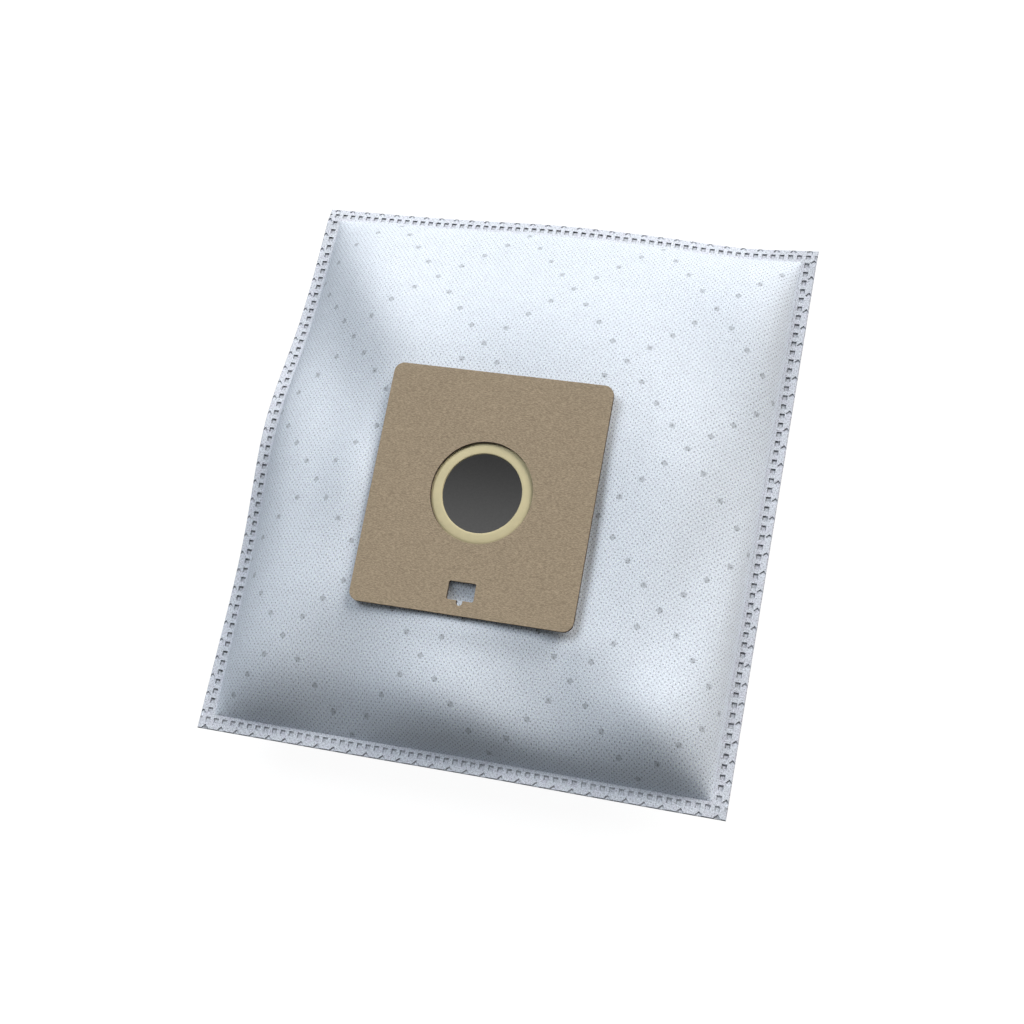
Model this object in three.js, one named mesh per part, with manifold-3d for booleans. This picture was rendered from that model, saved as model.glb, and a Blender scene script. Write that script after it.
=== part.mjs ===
// A dust bag for a vacuum cleaner. Two sheets of fleece are welded together round the edge and
// puffed out between the welds. A board collar with a rubber seal ring holds the intake hole.
// Units are millimetres. +Z is up, +Y is the far end of the bag, and it lies on its back on z = 0.

import * as THREE from 'three';
import { mergeVertices } from 'three/addons/utils/BufferGeometryUtils.js';
import Module from 'manifold-3d';

const wasm = await Module();
wasm.setup();

// The bag, flat
const BAG_WIDTH = 240;
const BAG_LENGTH = 263.5;
const HEM_WIDTH = 7;
const FLEECE = 1.2;                // one sheet where it is free
const HEM_FLEECE = 0.6;            // one sheet where the weld has pressed it
const WELD_GAP = 0.1;              // left between the two sheets in the hem
const SEAM_HEIGHT = 33;            // the weld's plane above what the bag lies on

// The puffed shape
const FRONT_CROWN = 42.5;          // rise of the front sheet above the seam
const CROWN_TO_RIGHT = -6;         // change of that rise over 100 mm
const CROWN_TO_FAR = 8;
const BACK_CROWN = 37.5;           // drop of the back sheet below the seam, before it flattens
const FLATTENING = 1.5;            // softness of the edge of the flat patch it lies on
const STEEPEST_WALL = 3;           // limit on how far a wall's upright thickness grows

// The collar board and its holes, in the board's own plane from its centre
const COLLAR_WIDTH = 98.8;
const COLLAR_LENGTH = 107.5;
const BOARD = 1.8;
const BOARD_CORNER = 4.5;
const COLLAR_X = -0.35;            // the board's centre from the bag's centre
const COLLAR_Y = -17.8;
const COLLAR_RISE = 42;            // the board's top face above the seam
const COLLAR_PITCH = 4.8;          // degrees, far end up
const COLLAR_ROLL = 1;             // degrees, left side up
const INTAKE_RADIUS = 22.5;
const INTAKE_Y = 0.2;
const KEY_WIDTH = 11.9;
const KEY_LENGTH = 7.9;
const KEY_X = -0.5;
const KEY_Y = -43.2;
const KEY_NOTCH_RADIUS = 1.35;
const KEY_NOTCH_DEPTH = 2.2;

// The rubber seal ring, clamped between the board and the fleece
const RING_HOLE_RADIUS = 17.55;
const RING_RADIUS = 27.5;
const RING = 0.8;
const GLUE_LINE = 0.1;
const RING_LIP = 0.8;              // how far the lip stands above the flange
const RING_ROUNDING = 0.5;         // taken off the ring's edges at its hole
const RING_SWELL_GAP = 0.2;        // from the board's hole to where the ring swells
const FLEECE_HOLE_RADIUS = 20;
const POCKET_CLEARANCE = 0.8;      // room round the ring in the fleece's step

// The weld marks: one row of square pits all round the front of the hem
const PIT_FROM_EDGE = 4.3;
const PIT_WIDTH = 2.2;
const PIT_LENGTH = 2.4;
const PIT_DEPTH = 0.35;
const PITS_ACROSS = 57;            // steps from corner pit to corner pit
const PITS_ALONG = 58;

const SEAM_X = BAG_WIDTH / 2 - HEM_WIDTH;
const SEAM_Y = BAG_LENGTH / 2 - HEM_WIDTH;
const COLLAR_MARGIN = 1;           // the grid's lines run this far outside the board
const GLUED_SHARE = 2 / 3;         // share of the board's width and length that is glued down
const COLLAR_SETTLE = 17;          // from there the fleece falls to its free shape over this length

// How the front sheet rises from each seam: a bigger shoulder is flatter on top,
// and a smaller power leaves the seam more steeply.
const FRONT_RISE = {
  left: { shoulder: 4.1, power: 0.72 },
  right: { shoulder: 9.7, power: 0.63 },
  near: { shoulder: 9.7, power: 0.88 },
  far: { shoulder: 2.2, power: 0.7 },
};
const BACK_RISE = { shoulder: 2.6, power: 0.5 };

// Where the front sheet is puffed further out or drawn in, as smooth hills and dips.
// A turn is in degrees, and turns the long way of a hill from the Y axis towards -X.
const PUFFS = [
  { x: 114, y: 31, height: -13.5, wide: 32, long: 91, turn: 40 },   // drawn in at the far right
  { x: 108, y: -8, height: -10, wide: 19, long: 74, turn: -15 },    // drawn in along the right seam
  { x: -128, y: 57, height: -25, wide: 54, long: 138, turn: 55 },   // long slope on the left
  { x: -88, y: 95, height: 13.5, wide: 24, long: 89, turn: 35 },    // ridge from the far left corner
  { x: -59, y: -12, height: 8.5, wide: 17, long: 31, turn: -5 },    // fuller beside the collar
  { x: -41, y: -113, height: 10, wide: 41, long: 20, turn: -5 },    // roll along the near end
  { x: -51, y: -124, height: -28, wide: 34, long: 35, turn: -5 },   // fold below that roll
  { x: 38, y: -105, height: -7, wide: 23, long: 32, turn: 50 },     // fold to the right of the roll
  { x: 87, y: -100, height: 5, wide: 16, long: 20, turn: 10 },      // puffed near right corner
  { x: -5, y: 127, height: -22.5, wide: 63, long: 40, turn: 25 },   // slope at the far end
];

// How the hem waves up and down along its sides. Each wave fades towards the opposite side.
const HEM_WAVES = [
  { side: 'left', at: 12, height: 11.5, long: 45 },
  { side: 'far', at: -2, height: 3, long: 40 },
  { side: 'far', at: 86, height: -4, long: 28 },
  { side: 'near', at: 15, height: 2.5, long: 45 },
];
const WAVE_FADE = 4;

const fleeceFinish = new THREE.MeshStandardMaterial({ color: 0xdfe6ee, roughness: 0.9, metalness: 0 });
const boardFinish = new THREE.MeshStandardMaterial({ color: 0xa08e76, roughness: 0.95, metalness: 0 });
const rubberFinish = new THREE.MeshStandardMaterial({ color: 0xc8be96, roughness: 0.6, metalness: 0 });

const hill = (distance, reach) => Math.exp(-((distance / reach) ** 2));
const within = (value, low, high) => Math.min(Math.max(value, low), high);
const smooth = (t) => t * t * (3 - 2 * t);

// Height of the weld's plane, which carries the hem's waves.
function seamHeight(x, y) {
  const nearness = {
    left: (SEAM_X - x) / (2 * SEAM_X),
    far: (SEAM_Y + y) / (2 * SEAM_Y),
    near: (SEAM_Y - y) / (2 * SEAM_Y),
  };
  let height = SEAM_HEIGHT;
  for (const wave of HEM_WAVES) {
    const along = wave.side === 'left' ? y : x;
    const fade = within(nearness[wave.side], 0, 1) ** WAVE_FADE;
    height += wave.height * hill(along - wave.at, wave.long) * fade;
  }
  return height;
}

// 0 at the seam and 1 in the middle of the bag.
function rise(position, seam, { shoulder, power }) {
  const t = within(Math.abs(position) / seam, 0, 1);
  return (1 - t ** shoulder) ** power;
}

// Height of one hill or dip, turned about its middle.
function puffHeight(puff, x, y) {
  const turn = THREE.MathUtils.degToRad(puff.turn);
  const across = (x - puff.x) * Math.cos(turn) + (y - puff.y) * Math.sin(turn);
  const along = (y - puff.y) * Math.cos(turn) - (x - puff.x) * Math.sin(turn);
  return puff.height * hill(across, puff.wide) * hill(along, puff.long);
}

function frontPuff(x, y) {
  const across = rise(x, SEAM_X, x < 0 ? FRONT_RISE.left : FRONT_RISE.right);
  const along = rise(y, SEAM_Y, y < 0 ? FRONT_RISE.near : FRONT_RISE.far);
  let crown = FRONT_CROWN + (CROWN_TO_RIGHT * x + CROWN_TO_FAR * y) / 100;
  for (const puff of PUFFS) crown += puffHeight(puff, x, y);
  return across * along * crown;
}

// The board's frame: origin in the middle of its top face, +Z out of the bag.
const collarFrame = new THREE.Matrix4().makeRotationFromEuler(new THREE.Euler(
  THREE.MathUtils.degToRad(COLLAR_PITCH),
  THREE.MathUtils.degToRad(COLLAR_ROLL),
  0,
));
collarFrame.setPosition(COLLAR_X, COLLAR_Y, SEAM_HEIGHT + COLLAR_RISE);
const collarCentre = new THREE.Vector3().setFromMatrixPosition(collarFrame);
const collarNormal = new THREE.Vector3().setFromMatrixColumn(collarFrame, 2);

// Height of the plane that lies a given depth below the board's top face.
function collarPlane(x, y, depth) {
  const slopeX = collarNormal.x / collarNormal.z;
  const slopeY = collarNormal.y / collarNormal.z;
  const atCentre = collarCentre.z - depth / collarNormal.z;
  return atCentre - slopeX * (x - collarCentre.x) - slopeY * (y - collarCentre.y);
}

// 1 where the fleece is glued to the board, falling to 0 by the board's edges, which stand free.
const holdX = COLLAR_WIDTH / 2 + COLLAR_MARGIN;
const holdY = COLLAR_LENGTH / 2 + COLLAR_MARGIN;

function collarHold(x, y) {
  const beyondX = Math.max(Math.abs(x - COLLAR_X) - GLUED_SHARE * holdX, 0);
  const beyondY = Math.max(Math.abs(y - COLLAR_Y) - GLUED_SHARE * holdY, 0);
  return 1 - smooth(within(Math.hypot(beyondX, beyondY) / COLLAR_SETTLE, 0, 1));
}

function frontTop(x, y) {
  const free = seamHeight(x, y) + WELD_GAP / 2 + HEM_FLEECE + frontPuff(x, y);
  const held = collarPlane(x, y, BOARD + GLUE_LINE);
  const hold = collarHold(x, y);
  return free * (1 - hold) + held * hold;
}

// A softened floor at 0, flat where the bag's weight rests.
function settle(height) {
  if (height >= FLATTENING) return height;
  if (height <= -FLATTENING) return 0;
  return (height + FLATTENING) ** 2 / (4 * FLATTENING);
}

function backBottom(x, y) {
  const drop = BACK_CROWN * rise(x, SEAM_X, BACK_RISE) * rise(y, SEAM_Y, BACK_RISE);
  return settle(seamHeight(x, y) - WELD_GAP / 2 - HEM_FLEECE - drop);
}

// Upright thickness of a sheet that slopes, so that it keeps its thickness square to its face.
function uprightThickness(surface, x, y) {
  const reach = 0.5;
  const slopeX = (surface(x + reach, y) - surface(x - reach, y)) / (2 * reach);
  const slopeY = (surface(x, y + reach) - surface(x, y - reach)) / (2 * reach);
  return FLEECE * Math.min(Math.hypot(1, slopeX, slopeY), STEEPEST_WALL);
}

const inHem = (x, y) => Math.abs(x) >= SEAM_X || Math.abs(y) >= SEAM_Y;

function frontInside(x, y) {
  const weld = seamHeight(x, y) + WELD_GAP / 2;
  if (inHem(x, y)) return weld;
  return Math.max(frontTop(x, y) - uprightThickness(frontTop, x, y), weld);
}

function backInside(x, y) {
  const weld = seamHeight(x, y) - WELD_GAP / 2;
  if (inHem(x, y)) return weld;
  return Math.min(backBottom(x, y) + uprightThickness(backBottom, x, y), weld);
}

// Grid lines from one hem edge to the other: close together where the sheet leaves the seam,
// wider towards the collar, and even under it.
function gridLines(edge, seam, lowHold, highHold, sideSteps, holdSteps) {
  const crowding = 1.6;
  const lines = [-edge];
  for (let i = 0; i < sideSteps.low; i += 1) {
    lines.push(-seam + (lowHold + seam) * (i / sideSteps.low) ** crowding);
  }
  for (let i = 0; i < holdSteps; i += 1) {
    lines.push(lowHold + (highHold - lowHold) * (i / holdSteps));
  }
  for (let i = sideSteps.high; i >= 0; i -= 1) {
    lines.push(seam - (seam - highHold) * (i / sideSteps.high) ** crowding);
  }
  lines.push(edge);
  return lines;
}

// A closed sheet between two height fields over the same grid.
function sheetGeometry(linesX, linesY, topOf, bottomOf) {
  const positions = [];
  const columns = linesX.length;
  const rows = linesY.length;
  for (const heightOf of [topOf, bottomOf]) {
    for (const y of linesY) {
      for (const x of linesX) positions.push(x, y, heightOf(x, y));
    }
  }
  const under = columns * rows;
  const at = (column, row) => row * columns + column;
  const indices = [];
  for (let row = 0; row < rows - 1; row += 1) {
    for (let column = 0; column < columns - 1; column += 1) {
      const a = at(column, row);
      const b = at(column + 1, row);
      const c = at(column + 1, row + 1);
      const d = at(column, row + 1);
      const middleX = linesX[column] + linesX[column + 1];
      const middleY = linesY[row] + linesY[row + 1];
      const corners = middleX * middleY > 0 ? [a, b, c, a, c, d] : [a, b, d, b, c, d];
      indices.push(...corners);
      indices.push(...corners.map((corner) => corner + under).reverse());
    }
  }
  const wall = (from, to) => indices.push(from, from + under, to + under, from, to + under, to);
  for (let column = 0; column < columns - 1; column += 1) {
    wall(at(column, 0), at(column + 1, 0));
    wall(at(column + 1, rows - 1), at(column, rows - 1));
  }
  for (let row = 0; row < rows - 1; row += 1) {
    wall(at(columns - 1, row), at(columns - 1, row + 1));
    wall(at(0, row + 1), at(0, row));
  }
  const geometry = new THREE.BufferGeometry();
  geometry.setAttribute('position', new THREE.Float32BufferAttribute(positions, 3));
  geometry.setIndex(indices);
  return geometry;
}

// A closed geometry as a solid that can be joined and cut, and back again.
function solidOf(geometry) {
  const bare = geometry.clone();
  bare.deleteAttribute('normal');
  bare.deleteAttribute('uv');
  const merged = mergeVertices(bare, 1e-4);
  return new wasm.Manifold(new wasm.Mesh({
    numProp: 3,
    vertProperties: new Float32Array(merged.attributes.position.array),
    triVerts: new Uint32Array(merged.index.array),
  }));
}

function geometryOf(solid) {
  const mesh = solid.getMesh();
  const geometry = new THREE.BufferGeometry();
  geometry.setAttribute('position', new THREE.BufferAttribute(new Float32Array(mesh.vertProperties), 3));
  geometry.setIndex(new THREE.BufferAttribute(new Uint32Array(mesh.triVerts), 1));
  geometry.computeVertexNormals();
  return geometry;
}

// A round disc in the board's frame, between two depths below the board's top face.
function collarDisc(radius, fromDepth, toDepth) {
  const segments = 48;
  const disc = new THREE.CylinderGeometry(radius, radius, toDepth - fromDepth, segments);
  disc.rotateX(Math.PI / 2);
  disc.translate(0, INTAKE_Y, -(fromDepth + toDepth) / 2);
  disc.applyMatrix4(collarFrame);
  return solidOf(disc);
}

// Both sheets share these lines, so that they lie flush in the hem. Six steps under the collar
// put a line on each edge of the glued zone.
const linesX = gridLines(BAG_WIDTH / 2, SEAM_X, COLLAR_X - holdX, COLLAR_X + holdX, { low: 8, high: 8 }, 6);
const linesY = gridLines(BAG_LENGTH / 2, SEAM_Y, COLLAR_Y - holdY, COLLAR_Y + holdY, { low: 7, high: 8 }, 6);

// Height and slope of the hem's flat facet between the two grid lines beside a position.
function hemFacet(position, lines, heightAt) {
  const next = lines.findIndex((line) => line > position);
  const low = lines[next - 1];
  const high = lines[next];
  const slope = (heightAt(high) - heightAt(low)) / (high - low);
  return { height: heightAt(low) + slope * (position - low), slope };
}

// One pit's cutter, set square to the hem where it is pressed in. The hem runs along X or along Y.
function pitCutter({ x, y, runs }) {
  const tall = 2;
  const cutter = new THREE.BoxGeometry(PIT_WIDTH, PIT_LENGTH, tall);
  cutter.translate(0, 0, tall / 2 - PIT_DEPTH);
  const facet = runs === 'x'
    ? hemFacet(x, linesX, (at) => seamHeight(at, y))
    : hemFacet(y, linesY, (at) => seamHeight(x, at));
  if (runs === 'x') cutter.rotateY(-Math.atan(facet.slope));
  else cutter.rotateX(Math.atan(facet.slope));
  cutter.translate(x, y, facet.height + WELD_GAP / 2 + HEM_FLEECE);
  return solidOf(cutter);
}

function pitPlaces() {
  const reachX = BAG_WIDTH / 2 - PIT_FROM_EDGE;
  const reachY = BAG_LENGTH / 2 - PIT_FROM_EDGE;
  const places = [];
  for (let i = 0; i <= PITS_ACROSS; i += 1) {
    const x = -reachX + 2 * reachX * (i / PITS_ACROSS);
    places.push({ x, y: reachY, runs: 'x' }, { x, y: -reachY, runs: 'x' });
  }
  for (let i = 1; i < PITS_ALONG; i += 1) {
    const y = -reachY + 2 * reachY * (i / PITS_ALONG);
    places.push({ x: -reachX, y, runs: 'y' }, { x: reachX, y, runs: 'y' });
  }
  return places;
}

function frontPanel() {
  const sheet = solidOf(sheetGeometry(linesX, linesY, frontTop, frontInside));
  const ringTop = BOARD + GLUE_LINE;
  const ringBottom = ringTop + RING + GLUE_LINE;
  const step = collarDisc(RING_RADIUS + POCKET_CLEARANCE + FLEECE, ringTop + FLEECE / 2, ringBottom + FLEECE);
  const pocket = collarDisc(RING_RADIUS + POCKET_CLEARANCE, ringTop - BOARD, ringBottom);
  const hole = collarDisc(FLEECE_HOLE_RADIUS, 0, 2 * ringBottom + FLEECE);
  const pits = wasm.Manifold.union(pitPlaces().map(pitCutter));
  return sheet.add(step).subtract(pocket).subtract(hole).subtract(pits);
}

function backPanel() {
  return solidOf(sheetGeometry(linesX, linesY, backInside, backBottom));
}

// Points along an arc, both ends included.
function arcPoints(x, y, radius, fromAngle, toAngle, steps) {
  const points = [];
  for (let i = 0; i <= steps; i += 1) {
    const angle = fromAngle + (toAngle - fromAngle) * (i / steps);
    points.push(new THREE.Vector2(x + radius * Math.cos(angle), y + radius * Math.sin(angle)));
  }
  return points;
}

// The board, die cut: rounded corners, the intake hole and the notched slot for the holder's key.
function collarGeometry() {
  const quarter = Math.PI / 2;
  const cornerX = COLLAR_WIDTH / 2 - BOARD_CORNER;
  const cornerY = COLLAR_LENGTH / 2 - BOARD_CORNER;
  const corners = [[cornerX, -cornerY], [cornerX, cornerY], [-cornerX, cornerY], [-cornerX, -cornerY]];
  const outline = corners.flatMap(([x, y], turn) => (
    arcPoints(x, y, BOARD_CORNER, (turn - 1) * quarter, turn * quarter, 6)
  ));

  const fullCircle = arcPoints(0, INTAKE_Y, INTAKE_RADIUS, 0, 4 * quarter, 64);
  const intake = fullCircle.slice(1);

  const side = KEY_WIDTH / 2;
  const keyTop = KEY_Y + KEY_LENGTH / 2;
  const keyBottom = KEY_Y - KEY_LENGTH / 2;
  const notchCentre = keyBottom - KEY_NOTCH_DEPTH + KEY_NOTCH_RADIUS;
  const key = [
    new THREE.Vector2(KEY_X + side, keyTop),
    new THREE.Vector2(KEY_X - side, keyTop),
    new THREE.Vector2(KEY_X - side, keyBottom),
    new THREE.Vector2(KEY_X - KEY_NOTCH_RADIUS, keyBottom),
    ...arcPoints(KEY_X, notchCentre, KEY_NOTCH_RADIUS, 2 * quarter, 4 * quarter, 8),
    new THREE.Vector2(KEY_X + KEY_NOTCH_RADIUS, keyBottom),
    new THREE.Vector2(KEY_X + side, keyBottom),
  ];

  const board = new THREE.Shape(outline);
  board.holes.push(new THREE.Path(intake), new THREE.Path(key));
  const geometry = new THREE.ExtrudeGeometry(board, { depth: BOARD, bevelEnabled: false });
  geometry.translate(0, 0, -BOARD);
  return geometry;
}

// The ring turned from its section: a flat flange that swells up to a rounded lip at the hole.
function ringGeometry() {
  const flangeTop = -(BOARD + GLUE_LINE);
  const flangeBottom = flangeTop - RING;
  const lipTop = flangeTop + RING_LIP;
  const swellStart = INTAKE_RADIUS - RING_SWELL_GAP;
  const swellEnd = RING_HOLE_RADIUS + RING_ROUNDING;
  const swellSteps = 3;
  const middleOfWall = [RING_HOLE_RADIUS, flangeTop - RING / 2];
  const section = [
    middleOfWall,
    [swellEnd, flangeBottom],
    [RING_RADIUS, flangeBottom],
    [RING_RADIUS, flangeTop],
  ];
  for (let i = 0; i <= swellSteps; i += 1) {
    const part = i / swellSteps;
    const radius = swellStart + (swellEnd - swellStart) * part;
    section.push([radius, flangeTop + RING_LIP * Math.sin(part * Math.PI / 2)]);
  }
  section.push([RING_HOLE_RADIUS, lipTop - RING_ROUNDING / 2], middleOfWall);
  const points = section.map(([radius, height]) => new THREE.Vector2(radius, height));
  const segments = 48;
  const geometry = new THREE.LatheGeometry(points, segments);
  geometry.rotateX(Math.PI / 2);
  geometry.translate(0, INTAKE_Y, 0);
  return geometry;
}

const bag = new THREE.Group();

function place(name, geometry, finish, frame) {
  const mesh = new THREE.Mesh(geometry, finish);
  mesh.name = name;
  if (frame) mesh.applyMatrix4(frame);
  bag.add(mesh);
}

place('front_panel', geometryOf(frontPanel()), fleeceFinish);
place('back_panel', geometryOf(backPanel()), fleeceFinish);
place('collar_plate', collarGeometry(), boardFinish, collarFrame);
place('seal_ring', ringGeometry(), rubberFinish, collarFrame);

export default bag;
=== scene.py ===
# %% [markdown]
# A vacuum cleaner's dust bag, puffed up as if it were full of air.
#
# Two sheets of fleece are welded together all round the edge. A board collar with a rubber seal ring
# holds the intake hole. The imported model comes first: the bag's width and length are read from it.

# %% Load the imported model
import math

import bpy
import numpy as np
from mathutils import Matrix, Vector


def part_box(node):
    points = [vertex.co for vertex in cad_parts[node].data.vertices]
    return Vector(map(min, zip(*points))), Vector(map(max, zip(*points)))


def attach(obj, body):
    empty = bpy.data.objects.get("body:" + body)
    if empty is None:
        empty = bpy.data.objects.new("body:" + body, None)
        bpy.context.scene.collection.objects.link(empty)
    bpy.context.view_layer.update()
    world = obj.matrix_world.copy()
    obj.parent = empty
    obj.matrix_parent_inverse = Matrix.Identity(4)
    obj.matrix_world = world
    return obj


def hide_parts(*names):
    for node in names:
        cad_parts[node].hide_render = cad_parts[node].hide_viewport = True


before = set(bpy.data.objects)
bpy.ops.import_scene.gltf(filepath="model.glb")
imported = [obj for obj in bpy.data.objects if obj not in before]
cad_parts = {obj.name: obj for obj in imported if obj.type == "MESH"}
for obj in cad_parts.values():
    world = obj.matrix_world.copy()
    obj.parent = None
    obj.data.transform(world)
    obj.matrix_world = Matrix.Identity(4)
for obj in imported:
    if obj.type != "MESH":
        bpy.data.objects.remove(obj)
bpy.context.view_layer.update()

MM = 0.001
front_low, front_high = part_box("front_panel")
BAG_WIDTH = (front_high.x - front_low.x) / MM
BAG_LENGTH = (front_high.y - front_low.y) / MM
print(f"The bag is {BAG_WIDTH:.1f} by {BAG_LENGTH:.1f} mm and {front_high.z / MM:.1f} mm high.")

# %% [markdown]
# The camera looks down on the bag from its lower right. Its place and lens were worked out from the
# four corners of the hem in the photo, so they are written here as a place and as the directions that
# point to the right and to the top of the picture. The lens is about 56 mm on a 36 mm sensor, a short
# portrait lens, and there is no depth of field.

# %% Camera
SEAM_HEIGHT = 33
HEM_ABOVE_SEAM = 0.65
HEM_TOP = SEAM_HEIGHT + HEM_ABOVE_SEAM
CAMERA_PLACE = Vector((188.4, -210.3, 669.3 + HEM_TOP)) * MM
CAMERA_RIGHT = Vector((0.9582, 0.198, -0.2063))
CAMERA_UP = Vector((-0.1269, 0.941, 0.3137))
LENS = 56.29

camera_data = bpy.data.cameras.new("camera")
camera_data.lens = LENS
camera_data.sensor_width = 36
camera_data.clip_start = 0.01
camera = bpy.data.objects.new("camera", camera_data)
bpy.context.scene.collection.objects.link(camera)
camera_back = CAMERA_RIGHT.cross(CAMERA_UP).normalized()
camera_up = camera_back.cross(CAMERA_RIGHT).normalized()
camera_turn = Matrix((CAMERA_RIGHT.normalized(), camera_up, camera_back)).transposed()
camera.matrix_world = Matrix.Translation(CAMERA_PLACE) @ camera_turn.to_4x4()
bpy.context.scene.camera = camera
print("The camera stands", round(CAMERA_PLACE.length, 3), "m from the point under the bag's middle.")

# %% [markdown]
# Shaders are sums over a surface. A small class lets such a sum be written as plain arithmetic: a
# Wire is what comes out of a node, and adding or multiplying wires adds Math nodes. The Finish class
# holds one material and makes every other kind of node.

# %% Shader arithmetic
class Wire:
    """What comes out of a node. Arithmetic on it adds Math nodes."""

    def __init__(self, finish, socket):
        self.finish = finish
        self.socket = socket

    def math(self, operation, *others):
        return self.finish.node("ShaderNodeMath", {"operation": operation}, [self, *others])

    def __add__(self, other):
        return self.math("ADD", other)

    def __sub__(self, other):
        return self.math("SUBTRACT", other)

    def __rsub__(self, other):
        return self.finish.node("ShaderNodeMath", {"operation": "SUBTRACT"}, [other, self])

    def __mul__(self, other):
        return self.math("MULTIPLY", other)

    def __truediv__(self, other):
        return self.math("DIVIDE", other)

    def __lt__(self, other):
        return self.math("LESS_THAN", other)

    def fraction(self):
        return self.math("FRACT")

    def whole(self):
        return self.math("ROUND")

    def root(self):
        return self.math("SQRT")

    def size(self):
        return self.math("ABSOLUTE")

    def least(self, other):
        return self.math("MINIMUM", other)

    def most(self, other):
        return self.math("MAXIMUM", other)

    def ramp(self, low, high, at_low=0.0, at_high=1.0):
        """A soft step from at_low to at_high as this goes from low to high."""
        settings = {"interpolation_type": "SMOOTHSTEP"}
        return self.finish.node("ShaderNodeMapRange", settings, [self, low, high, at_low, at_high])


class Finish:
    """A material that is being built from nodes, with a Principled shader at its end."""

    def __init__(self, name):
        self.material = bpy.data.materials.new(name)
        self.material.use_nodes = True
        self.tree = self.material.node_tree
        self.shader = self.tree.nodes["Principled BSDF"]

    def feed(self, socket, value):
        if isinstance(value, Wire):
            self.tree.links.new(value.socket, socket)
        else:
            socket.default_value = value

    def node(self, kind, settings=None, inputs=(), output=0):
        made = self.tree.nodes.new(kind)
        for name, value in (settings or {}).items():
            setattr(made, name, value)
        pairs = inputs.items() if isinstance(inputs, dict) else enumerate(inputs)
        for key, value in pairs:
            self.feed(made.inputs[key], value)
        return Wire(self, made.outputs[output])

    def place(self):
        """The point on the piece, in millimetres."""
        at = self.node("ShaderNodeTexCoord", output="Object")
        return self.node("ShaderNodeVectorMath", {"operation": "SCALE"}, {"Vector": at, "Scale": 1 / MM})

    def split(self, vector):
        parts = self.node("ShaderNodeSeparateXYZ", inputs=[vector]).socket.node
        return [Wire(self, socket) for socket in parts.outputs]

    def noise(self, vector, scale, detail=2.0, roughness=0.5):
        """Soft noise from about 0 to 1, with a grain of about 1 / scale mm."""
        inputs = {"Vector": vector, "Scale": scale, "Detail": detail, "Roughness": roughness}
        return self.node("ShaderNodeTexNoise", inputs=inputs)

    def turned(self, vector, angle, scale):
        """The same place turned about Z and drawn out by a scale for each axis."""
        inputs = {"Vector": vector, "Rotation": (0, 0, math.radians(angle)), "Scale": scale}
        return self.node("ShaderNodeMapping", inputs=inputs)

    def blend(self, amount, under, over):
        """A colour between two, or one drawn over the other where amount is 1."""
        inputs = {0: amount, 6: under, 7: over}
        return self.node("ShaderNodeMix", {"data_type": "RGBA"}, inputs, output=2)

    def shade(self, colour, brightness):
        """A colour made darker or lighter by a number."""
        inputs = {0: colour, "Scale": brightness}
        return self.node("ShaderNodeVectorMath", {"operation": "SCALE"}, inputs)

    def bump(self, height, depth):
        """A normal for a height from 0 to 1 that stands for a depth in mm."""
        inputs = {"Strength": 1.0, "Distance": depth * MM, "Height": height}
        return self.node("ShaderNodeBump", inputs=inputs)

    def matt(self, roughness, gloss):
        """Sets how rough the surface is and how much it mirrors, the same all over."""
        self.shader.inputs["Roughness"].default_value = roughness
        self.shader.inputs["Specular IOR Level"].default_value = gloss


# %% [markdown]
# The photo was taken in soft studio light. One light comes from beyond the far right corner of the
# bag and is low: it is slightly warm and brings out the folds. A cool light hangs high up on the
# left: it lights the near hem, which the bag hides from the first light, leaves the steep wall
# beside it dark, and puts a soft shadow along the right side of the board. Two wide sun lamps stand
# for them, with a weak sky all round for what the white studio sends back. The background is plain
# white: the floor and the sky are white only where the camera sees them, or a mirror image of them,
# so that they put no extra light on the bag, and the floor still takes the bag's shadow.

# %% Light
KEY_FROM = Vector((0.498, 0.689, 0.525))
KEY_STRENGTH = 2.42
KEY_SOFTNESS = 40
KEY_COLOUR = (1.03, 1.0, 0.96)
TOP_FROM = Vector((-0.45, 0.35, 0.82))
TOP_STRENGTH = 1.3
TOP_SOFTNESS = 34
TOP_COLOUR = (0.95, 1.0, 1.045)
SKY_STRENGTH = 0.1
SKY_COLOUR = (0.95, 1.0, 1.045, 1)


def soft_sun(name, comes_from, strength, softness, colour):
    data = bpy.data.lights.new(name, "SUN")
    data.energy = strength
    data.color = colour
    data.angle = math.radians(softness)
    lamp = bpy.data.objects.new(name, data)
    lamp.rotation_euler = comes_from.to_track_quat("Z", "Y").to_euler()
    bpy.context.scene.collection.objects.link(lamp)


soft_sun("key light", KEY_FROM, KEY_STRENGTH, KEY_SOFTNESS, KEY_COLOUR)
soft_sun("top light", TOP_FROM, TOP_STRENGTH, TOP_SOFTNESS, TOP_COLOUR)

world = bpy.data.worlds.new("studio")
bpy.context.scene.world = world
world.use_nodes = True
world_nodes = world.node_tree.nodes
world_links = world.node_tree.links
sky = world_nodes["Background"]
sky.inputs["Color"].default_value = SKY_COLOUR
sky.inputs["Strength"].default_value = SKY_STRENGTH
white = world_nodes.new("ShaderNodeBackground")
white.inputs["Color"].default_value = (1, 1, 1, 1)
rays = world_nodes.new("ShaderNodeLightPath")
seen = world_nodes.new("ShaderNodeMath")
seen.operation = "MAXIMUM"
seen_in_gloss = world_nodes.new("ShaderNodeMath")
seen_in_gloss.operation = "MAXIMUM"
choice = world_nodes.new("ShaderNodeMixShader")
world_links.new(rays.outputs["Is Glossy Ray"], seen_in_gloss.inputs[0])
world_links.new(rays.outputs["Is Transmission Ray"], seen_in_gloss.inputs[1])
world_links.new(rays.outputs["Is Camera Ray"], seen.inputs[0])
world_links.new(seen_in_gloss.outputs[0], seen.inputs[1])
world_links.new(seen.outputs[0], choice.inputs[0])
world_links.new(sky.outputs[0], choice.inputs[1])
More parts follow.
